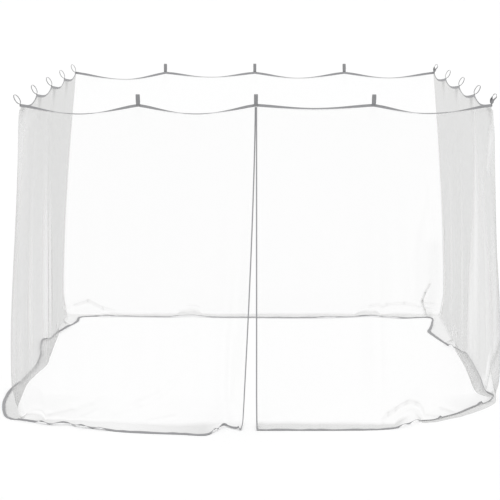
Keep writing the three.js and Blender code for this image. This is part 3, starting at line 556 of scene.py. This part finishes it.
veil = add_node(tree, "ShaderNodeMixShader", _0=cover, _1=clear, _2=lit).outputs[0]
add_node(tree, "ShaderNodeOutputMaterial", Surface=veil)

CLOSE_STEP, WIDE_STEP = 7, 12  # between columns near a loop and away from one
NEAR_LOOP = 95
POUCH_STEP, POUCH_AT, POUCH_WIDE = 4, 4625, 75  # the deep crease beside the right back corner


def stations(wall):
    """Columns of a panel, closer together beside its loops and at the pouch."""
    first, last = WALLS[wall][:2]
    columns = [first]
    while columns[-1] < last:
        from_loop = abs((columns[-1] + SPAN / 2) % SPAN - SPAN / 2)
        step = CLOSE_STEP if from_loop < NEAR_LOOP else WIDE_STEP
        if abs(columns[-1] - POUCH_AT) < POUCH_WIDE:
            step = POUCH_STEP
        columns.append(columns[-1] + step)
    columns[-1] = last
    return np.array(columns, float)


# Rows of a panel, in cloth from the top edge: closest at the tape and near the floor
ROW_LENGTHS = np.concatenate([
    np.arange(0, BENT, 4), np.arange(BENT, 250, 11), np.arange(250, 1700, 22),
    np.arange(1700, HANG - KNEE, 6), np.arange(HANG - KNEE, CLOTH - 3, 5), [CLOTH],
]).astype(float)

panels = {}
for wall in WALLS:
    columns = stations(wall)
    points = cloth(wall, columns, ROW_LENGTHS)
    uv_points = np.stack(np.meshgrid(columns, ROW_LENGTHS), -1).reshape(-1, 2)
    piece = add_mesh(
        "netting_" + wall,
        points.reshape(-1, 3),
        grid_faces(len(ROW_LENGTHS), len(columns)),
        uv_points,
        net_material,
    )
    shares = piece.data.attributes.new("cover", "FLOAT", "POINT")
    shares.data.foreach_set("value", cover_of(points, columns, ROW_LENGTHS).ravel())
    # net this fine casts no shadow that shows, and its bounced light would grey the white floor
    piece.visible_shadow = False
    piece.visible_diffuse = False
    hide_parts("net_" + wall)
    panels[wall] = piece

# The binding
# Plain woven polyester tape, folded over every edge of the net and stitched down along its inner
# side: 17 mm deep along the top and the hem, and 8 mm down both sides of the doorway. Its matt
# ribs read as an even mid grey with a paler row of stitches.
PLY = 0.75
CLOTH_HALF = 0.5  # half of the room between the two plies
FOLD_PAST = 0.6  # how far the fold goes past the edge of the net
FOLD_NARROW = 0.6  # thickness at the fold, as a share of the tape's
TAPE_ROWS = np.array([0, 2, 6, 11, 15, TAPE], float)
DOOR_TAPE = 8
DOOR_ROWS = np.array([0, 1.5, 4, 6.5, DOOR_TAPE])
STITCH_ROW = 0.84  # across the tape, as a share from its fold
STITCH_MM = 9  # a stitch and its gap, really 3 mm, drawn longer so that they show
RIB_MM = 4  # the ribs of the weave, really under 1 mm
tape_material, tree = new_material("plain woven polyester tape")
uv = add_node(tree, "ShaderNodeUVMap", {"uv_map": "cut"}).outputs[0]
parts = add_node(tree, "ShaderNodeSeparateXYZ", _0=uv)
run, across = parts.outputs["X"], parts.outputs["Y"]
ribs = add_node(tree, "ShaderNodeMath", {"operation": "MULTIPLY"}, _0=run, _1=2 * math.pi / RIB_MM)
ribs = add_node(tree, "ShaderNodeMath", {"operation": "SINE"}, _0=ribs.outputs[0]).outputs[0]
stitch = add_node(
    tree, "ShaderNodeMath", {"operation": "MULTIPLY"}, _0=run, _1=2 * math.pi / STITCH_MM
)
stitch = add_node(tree, "ShaderNodeMath", {"operation": "SINE"}, _0=stitch.outputs[0]).outputs[0]
stitch = add_node(tree, "ShaderNodeMapRange", _0=stitch, _1=-0.4, _2=0.0).outputs[0]
row = add_node(tree, "ShaderNodeMath", {"operation": "SUBTRACT"}, _0=across, _1=STITCH_ROW).outputs[0]
row = add_node(tree, "ShaderNodeMath", {"operation": "ABSOLUTE"}, _0=row).outputs[0]
row = add_node(tree, "ShaderNodeMapRange", _0=row, _1=0.03, _2=0.06, _3=1.0, _4=0.0).outputs[0]
thread = add_node(tree, "ShaderNodeMath", {"operation": "MULTIPLY"}, _0=stitch, _1=row).outputs[0]
patches = add_node(tree, "ShaderNodeMapping", Vector=uv, Scale=(1 / 60, 1.5, 1)).outputs[0]
patches = add_node(tree, "ShaderNodeTexNoise", Vector=patches, Scale=1.0, Detail=3.0).outputs["Fac"]
tone = add_node(
    tree, "ShaderNodeMix", {"data_type": "RGBA"},
    _0=patches, _6=hex_to_linear("#8D8D8F"), _7=hex_to_linear("#97979A"),
).outputs[2]
tone = add_node(
    tree, "ShaderNodeMix", {"data_type": "RGBA"}, _0=thread, _6=tone, _7=hex_to_linear("#ABABAD")
).outputs[2]
height = add_node(tree, "ShaderNodeMath", {"operation": "MULTIPLY_ADD"}, _0=thread, _1=2.0, _2=ribs)
bump = add_node(tree, "ShaderNodeBump", Strength=0.35, Distance=0.0004, Height=height.outputs[0])
woven = add_node(
    tree, "ShaderNodeBsdfPrincipled",
    Base_Color=tone, Roughness=0.8, Sheen_Weight=0.2, Normal=bump.outputs[0],
).outputs[0]
add_node(tree, "ShaderNodeOutputMaterial", Surface=woven)


def folded_tape(name, points, material):
    """A tape folded over the first row of a grid of points and reaching to its last row."""
    rows, columns = points.shape[:2]
    out = faces_out(points)
    reach = rows - 1
    outward = points[0] - points[1]
    past = points[0] + outward * (FOLD_PAST / np.linalg.norm(outward, axis=1))[:, None]
    outer, inner = CLOTH_HALF + PLY, CLOTH_HALF
    crown = outer * FOLD_NARROW
    ring = [points[row] + out[row] * outer for row in range(reach, -1, -1)]
    ring += [past + out[0] * crown, past - out[0] * crown]
    ring += [points[row] - out[row] * outer for row in range(0, reach + 1)]
    ring += [points[row] - out[row] * inner for row in range(reach, 0, -1)]
    ring += [points[row] + out[row] * inner for row in range(1, reach + 1)]
    across = [row / reach for row in range(reach, -1, -1)] + [0, 0]
    across += [row / reach for row in range(0, reach + 1)]
    across += [row / reach for row in range(reach, 0, -1)] + [row / reach for row in range(1, reach + 1)]
    around = len(ring)
    grid = np.stack(ring, 1)
    run = np.cumsum(np.r_[0, np.linalg.norm(np.diff(points[0], axis=0), axis=1)])
    uv_points = np.stack(np.broadcast_arrays(run[:, None], np.array(across)[None]), -1).reshape(-1, 2)
    faces = grid_faces(columns, around, closed=True)
    piece = add_mesh(name, grid.reshape(-1, 3), faces, uv_points, material)
    mesh = bmesh.new()
    mesh.from_mesh(piece.data)
    mesh.verts.ensure_lookup_table()
    layer = mesh.loops.layers.uv["cut"]
    for end in (0, (columns - 1) * around):
        cap = mesh.faces.new([mesh.verts[end + place] for place in range(around)])
        for corner, place in zip(cap.loops, range(around)):
            corner[layer].uv = (run[0 if end == 0 else -1], across[place])
    bmesh.ops.recalc_face_normals(mesh, faces=mesh.faces)
    mesh.to_mesh(piece.data)
    mesh.free()
    return piece


tapes = {wall: [] for wall in WALLS}
for wall in WALLS:
    columns = stations(wall)
    top = folded_tape("top_tape_" + wall + "_cloth", cloth(wall, columns, TAPE_ROWS), tape_material)
    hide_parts("top_tape_" + wall)
    bottom_rows = cloth(wall, columns, CLOTH - TAPE_ROWS)
    hem = folded_tape("hem_tape_" + wall + "_cloth", bottom_rows, tape_material)
    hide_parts("hem_tape_" + wall)
    tapes[wall] += [top, hem]
lengths = ROW_LENGTHS[(ROW_LENGTHS > TAPE) & (ROW_LENGTHS < CLOTH - TAPE)]
for wall, edge, inward in (("front_right", 0, 1), ("front_left", ROUND, -1)):
    strip = cloth(wall, edge + inward * DOOR_ROWS, lengths)
    door = folded_tape("door_tape_" + wall + "_cloth", strip.transpose(1, 0, 2), tape_material)
    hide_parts("door_tape_" + wall)
    tapes[wall].append(door)

# The strap loops
# Ribbed polyester webbing, 25 mm wide and 1.5 mm thick, folded into an open ring that a rail
# slides through. Both ends are sewn to the outside of the top tape. Its cords catch the light in
# fine lines along a darker grey than the tape's.
STRAP_WIDE, STRAP_THICK = 25, 1.5
SELVEDGE = 0.7  # width of a rounded edge
PLY_GAP = 0.1  # keeps the two plies of a stem from touching
LOOP_HIGH, LOOP_DEEP = 68, 30
NECK = 0.11  # half of the ring's open angle at its foot, in radians
STEM, STEM_TOP = 14.5, 1.5  # below the top edge, from the strap's ends up to the neck
IN_FROM_CORNER = STRAP_WIDE / 2 + 6
FACE_OF_TAPE = 2.8
RIB_STEP_MM = 3.2  # cords of the weave, really 1.6 mm apart
PICK_STEP_MM = 2.4  # cross threads of the weave, really 0.8 mm apart
TWISTED = 58  # height over which a twisted strap turns out of line and back
TWIST_POWER = 0.6  # below 1, it turns soonest near the tape
PINCH, PINCH_FROM, PINCH_TO = 0.7, 0.2, 0.8  # how flat a twisted ring is pressed, and up to where

# Name, lean of the ring and twist below it, in degrees
LOOPS = [
    ("front_middle", 24, 0), ("front_right", 26, 0), ("corner_front_right", 19, 62),
    ("right_front", 30, 0), ("right_middle", 27, 0), ("right_back", 25, 0),
    ("corner_back_right", 16, 48), ("back_right", 22, 0), ("back_middle", 20, 0),
    ("back_left", 22, 0), ("corner_back_left", 24, 0), ("left_back", 26, 0),
    ("left_middle", 28, 0), ("left_front", 27, 0), ("corner_front_left", 32, 0),
    ("front_left", 25, 0),
]
strap_material, tree = new_material("ribbed polyester webbing")
uv = add_node(tree, "ShaderNodeUVMap", {"uv_map": "cut"}).outputs[0]
parts = add_node(tree, "ShaderNodeSeparateXYZ", _0=uv)
run, across = parts.outputs["X"], parts.outputs["Y"]
cords = add_node(
    tree, "ShaderNodeMath", {"operation": "MULTIPLY"}, _0=across, _1=2 * math.pi / RIB_STEP_MM
)
cords = add_node(tree, "ShaderNodeMath", {"operation": "SINE"}, _0=cords.outputs[0]).outputs[0]
picks = add_node(
    tree, "ShaderNodeMath", {"operation": "MULTIPLY"}, _0=run, _1=2 * math.pi / PICK_STEP_MM
)
picks = add_node(tree, "ShaderNodeMath", {"operation": "SINE"}, _0=picks.outputs[0]).outputs[0]
ridges = add_node(tree, "ShaderNodeMath", {"operation": "MULTIPLY_ADD"}, _0=picks, _1=0.4, _2=cords)
patches = add_node(tree, "ShaderNodeTexNoise", Vector=uv, Scale=0.08, Detail=2.0).outputs["Fac"]
tone = add_node(
    tree, "ShaderNodeMix", {"data_type": "RGBA"},
    _0=patches, _6=hex_to_linear("#848486"), _7=hex_to_linear("#8E8E90"),
).outputs[2]
bump = add_node(tree, "ShaderNodeBump", Strength=0.5, Distance=0.0005, Height=ridges.outputs[0])
webbing = add_node(
    tree, "ShaderNodeBsdfPrincipled",
    Base_Color=tone, Roughness=0.75, Sheen_Weight=0.2, Normal=bump.outputs[0],
).outputs[0]
add_node(tree, "ShaderNodeOutputMaterial", Surface=webbing)


def strap_path(lean):
    """Middle line of a folded strap, seen along the rail: out from the wall and up."""
    tilt = math.radians(lean)
    outer_ply = FACE_OF_TAPE + 1.5 * STRAP_THICK
    inner_ply = FACE_OF_TAPE + 0.5 * STRAP_THICK
    neck = np.array([(outer_ply + inner_ply) / 2, STRAP_THICK])
    centre = neck + np.array([math.sin(tilt), math.cos(tilt)]) * LOOP_HIGH / 2
    wide, tall = (LOOP_DEEP - STRAP_THICK) / 2, (LOOP_HIGH - STRAP_THICK) / 2
    angle = np.linspace(-math.pi / 2 + NECK, 1.5 * math.pi - NECK, 44)
    ring = np.column_stack([wide * np.cos(angle), tall * np.sin(angle)])
    turn = np.array([[math.cos(tilt), -math.sin(tilt)], [math.sin(tilt), math.cos(tilt)]])
    ring = ring @ turn + centre
    stem = np.linspace(-STEM, -STEM_TOP, 7)
    out_side = np.column_stack([np.full(7, outer_ply + PLY_GAP), stem])
    in_side = np.column_stack([np.full(7, inner_ply - PLY_GAP), stem[::-1]])
    return np.vstack([out_side, ring, in_side])


def strap_points(path, way, out, foot, twist):
    """A webbing strip with rounded selvedges, swept along its path.

    A twisted one turns out of line below its ring, which is pressed flat there.
    """
    run = np.gradient(path, axis=0)
    run = run / np.linalg.norm(run, axis=1)[:, None]
    normal = np.column_stack([run[:, 1], -run[:, 0]])
    half, thick, flat = STRAP_WIDE / 2, STRAP_THICK / 2 - PLY_GAP / 2, STRAP_WIDE / 2 - SELVEDGE
    section = [
        (-half, 0), (-flat, thick), (-half / 2, thick), (0, thick), (half / 2, thick), (flat, thick),
        (half, 0), (flat, -thick), (half / 2, -thick), (0, -thick), (-half / 2, -thick), (-flat, -thick),
    ]
    up = np.array([0, 0, 1])
    rows = []
    for place, face in zip(path, normal):
        height = min(max(place[1] / TWISTED, 0), 1)
        turned = math.radians(twist) * math.sin(math.pi * height ** TWIST_POWER)
        near = out * math.cos(turned) - way * math.sin(turned)
        broad = way * math.cos(turned) + out * math.sin(turned)
        pinched = 1 - PINCH * (twist != 0) * (1 - smooth(height, PINCH_FROM, PINCH_TO))
        bearing = FACE_OF_TAPE + STRAP_THICK
        reach = bearing + (place[0] - bearing) * (pinched if place[1] > 0 else 1)
        middle = foot + near * reach + up * place[1]
        side = near * face[0] + up * face[1]
        rows.append([middle + broad * along + side * off for along, off in section])
    return np.array(rows), [along for along, _ in section]


for index, (name, lean, twist) in enumerate(LOOPS):
    at = index * SPAN
    wall = next(one for one, (first, last, *_) in WALLS.items() if first <= at < last)
    if index % 4 == 2:
        wall = "right" if index < 8 else "left"
        at += IN_FROM_CORNER if WALLS[wall][0] == at else -IN_FROM_CORNER
    first, _, corner, (along_x, along_y) = WALLS[wall]
    way, out = np.array([along_x, along_y, 0.0]), np.array([along_y, -along_x, 0.0])
    foot = np.array([*corner, 0.0]) + way * (at - first)
    foot[2] = HANG - top_edge(np.array([float(at)]))[0][0]
    path = strap_path(lean)
    grid, across = strap_points(path, way, out, foot, twist)
    run = np.cumsum(np.r_[0, np.linalg.norm(np.diff(path, axis=0), axis=1)])
    uv_points = np.stack(np.broadcast_arrays(run[:, None], np.array(across)[None]), -1).reshape(-1, 2)
    rows, around = grid.shape[:2]
    faces = grid_faces(rows, around, closed=True)
    piece = add_mesh("strap_" + name, grid.reshape(-1, 3), faces, uv_points, strap_material)
    mesh = bmesh.new()
    mesh.from_mesh(piece.data)
    mesh.verts.ensure_lookup_table()
    for end in (0, (rows - 1) * around):
        ring = [mesh.verts[end + place] for place in range(around)]
        mesh.faces.new(ring if end == 0 else ring[::-1])
    bmesh.ops.recalc_face_normals(mesh, faces=mesh.faces)
    mesh.to_mesh(piece.data)
    mesh.free()
    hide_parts("loop_" + name)

# Each panel's first and last station are read here, and nothing uses them
for wall, piece in panels.items():
    first, last = WALLS[wall][:2]

# The studio
# A pale matt floor under an even white sky, with one wide soft light from the front left and one
# from behind, so that the walls that face front and back are a little brighter than the sides.
FLOOR_AT = -(HANG + BEARING_UP) / 1000
FLOOR_HALF = 400  # metres, so that its edge lies past the horizon
SKY_STRENGTH = 0.945
SUN_WIDE = 40  # degrees across, which keeps the shadows soft
floor_material, tree = new_material("matt white studio floor")
matt = add_node(tree, "ShaderNodeBsdfPrincipled", Base_Color=hex_to_linear("#FCFCFC"), Roughness=0.9)
add_node(tree, "ShaderNodeOutputMaterial", Surface=matt.outputs[0])
floor_mesh = bpy.data.meshes.new("studio_floor")
floor_mesh.from_pydata(
    [(x * FLOOR_HALF, y * FLOOR_HALF, FLOOR_AT) for x, y in ((-1, -1), (1, -1), (1, 1), (-1, 1))],
    [],
    [(0, 1, 2, 3)],
)
floor_mesh.materials.append(floor_material)
studio_floor = bpy.data.objects.new("studio_floor", floor_mesh)
bpy.context.scene.collection.objects.link(studio_floor)

world = bpy.data.worlds.new("white studio sky")
world.use_nodes = True
sky = world.node_tree.nodes["Background"]
sky.inputs["Color"].default_value = (1, 1, 1, 1)
sky.inputs["Strength"].default_value = SKY_STRENGTH
bpy.context.scene.world = world
bpy.context.scene.view_settings.view_transform = "Standard"  # keeps the white of the studio white

# Name, turn about the net and height in degrees, and strength
LIGHTS = [("front light", -18, 34, 0.35), ("back light", 168, 30, 0.2)]
for name, azimuth, height, power in LIGHTS:
    light = bpy.data.lights.new(name, "SUN")
    light.energy = power
    light.angle = math.radians(SUN_WIDE)
    lamp = bpy.data.objects.new(name, light)
    lamp.rotation_euler = (math.radians(90 - height), 0, math.radians(azimuth))
    bpy.context.scene.collection.objects.link(lamp)

# A long lens, nine metres in front of the doorway and a little above the rail
CAMERA_AT = (-0.030, -9.2507, 0.7718)
CAMERA_DOWN, CAMERA_LEFT = 10.86, 0.048  # degrees
camera_data = bpy.data.cameras.new("camera")
camera_data.sensor_width = 36
camera_data.lens = 104.9
camera_data.clip_end = 1500
camera = bpy.data.objects.new("camera", camera_data)
camera.location = CAMERA_AT
camera.rotation_euler = (math.radians(90 - CAMERA_DOWN), 0, math.radians(CAMERA_LEFT))
bpy.context.scene.collection.objects.link(camera)
bpy.context.scene.camera = camera
